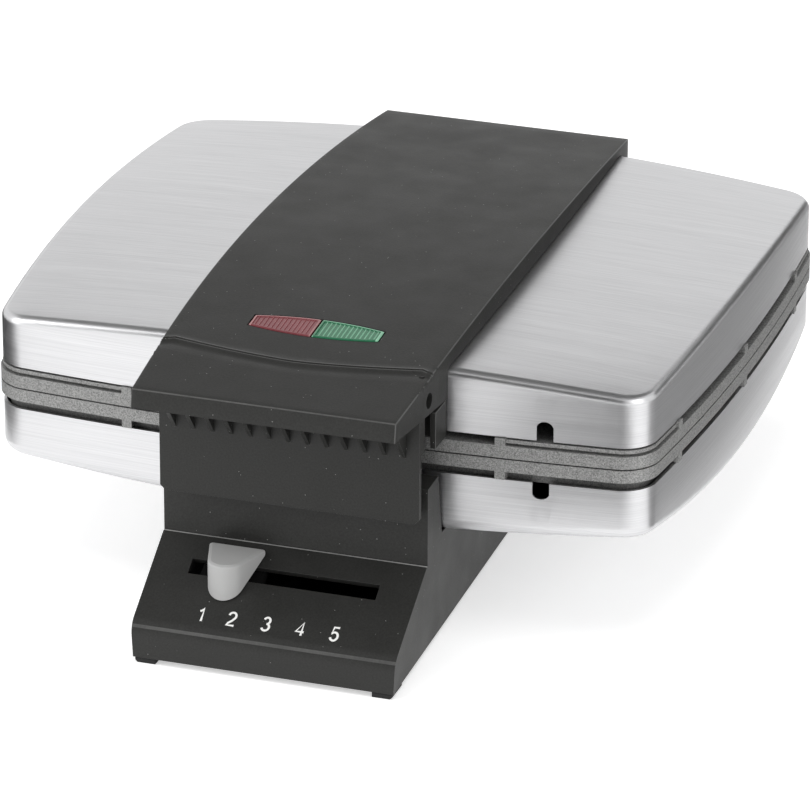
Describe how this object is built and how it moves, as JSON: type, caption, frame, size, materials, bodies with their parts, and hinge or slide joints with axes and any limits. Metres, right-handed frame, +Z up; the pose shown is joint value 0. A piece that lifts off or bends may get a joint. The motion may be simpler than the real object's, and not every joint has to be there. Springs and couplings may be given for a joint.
{
  "type": "waffle maker",
  "caption": "Countertop waffle maker with two moulds between bowed brushed steel halves, a black strap lid handle with indicator lenses, and a pedestal base with a sliding temperature control.",
  "frame": {"origin": "on the table, under the middle of the whole appliance", "axes": "+Z up, +Y towards the hinge at the back, +X to the right as seen by the user at the control"},
  "size_m": [0.29, 0.32, 0.1284],
  "materials": {
    "black_plastic": "fine satin texture",
    "grey_plastic": "satin",
    "brushed_steel": "brushed along each side",
    "cast_aluminium": "grainy casting",
    "bright_steel": "plain turned or pressed",
    "heater_sheath": "heat darkened",
    "red_lens": "clear tinted, ribbed",
    "green_lens": "clear tinted, ribbed",
    "circuit_board": "plain laminate",
    "ceramic": "unglazed",
    "rubber": "plain moulded"
  },
  "bodies": {
    "base": {"base_bottom_plate": "black_plastic", "base_housing": "black_plastic", "base_screw_1": "bright_steel", "base_screw_2": "bright_steel", "base_screw_3": "bright_steel", "base_screw_4": "bright_steel", "cord_gland": "rubber", "foot_back_left": "rubber", "foot_back_right": "rubber", "foot_front_left": "rubber", "foot_front_right": "rubber", "hinge_pin": "bright_steel", "lower_cover": "brushed_steel", "lower_heater": "heater_sheath", "lower_plate": "cast_aluminium", "lower_plate_screw_1": "bright_steel", "lower_plate_screw_2": "bright_steel", "lower_plate_screw_3": "bright_steel", "lower_plate_screw_4": "bright_steel", "terminal_block": "ceramic", "thermal_fuse": "ceramic", "thermostat": "ceramic"},
    "lid": {"guard_pin_left": "bright_steel", "guard_pin_right": "bright_steel", "handle_bracket": "black_plastic", "handle_guard": "black_plastic", "hinge_arm_left": "bright_steel", "hinge_arm_right": "bright_steel", "indicator_lens_green": "green_lens", "indicator_lens_red": "red_lens", "lamp_board": "circuit_board", "lamp_green": "green_lens", "lamp_red": "red_lens", "top_strap": "black_plastic", "upper_cover": "brushed_steel", "upper_heater": "heater_sheath", "upper_plate": "cast_aluminium", "upper_plate_screw_1": "bright_steel", "upper_plate_screw_2": "bright_steel", "upper_plate_screw_3": "bright_steel", "upper_plate_screw_4": "bright_steel"},
    "slider": {"temperature_knob": "grey_plastic", "slider_carriage": "black_plastic"},
    "lever": {"thermostat_lever": "grey_plastic"}
  },
  "joints": [
    {"name": "lid_hinge", "type": "hinge", "parent": "base", "child": "lid", "pos_m": [0, 0.153, 0.084], "axis": [-1, 0, 0], "range_deg": [0, 105]},
    {"name": "knob_slide", "type": "slide", "parent": "base", "child": "slider", "axis": [1, 0, 0], "range_m": [-0.0095, 0.0535]},
    {"name": "thermostat_turn", "type": "hinge", "parent": "base", "child": "lever", "pos_m": [-0.0002, -0.0715, 0.018], "axis": [0, 0, 1], "range_deg": [-8.8, 48.2]}
  ],
  "couplings": [
    {"joint": "thermostat_turn", "follows": "knob_slide", "rad_per_m": 15.62}
  ]
}
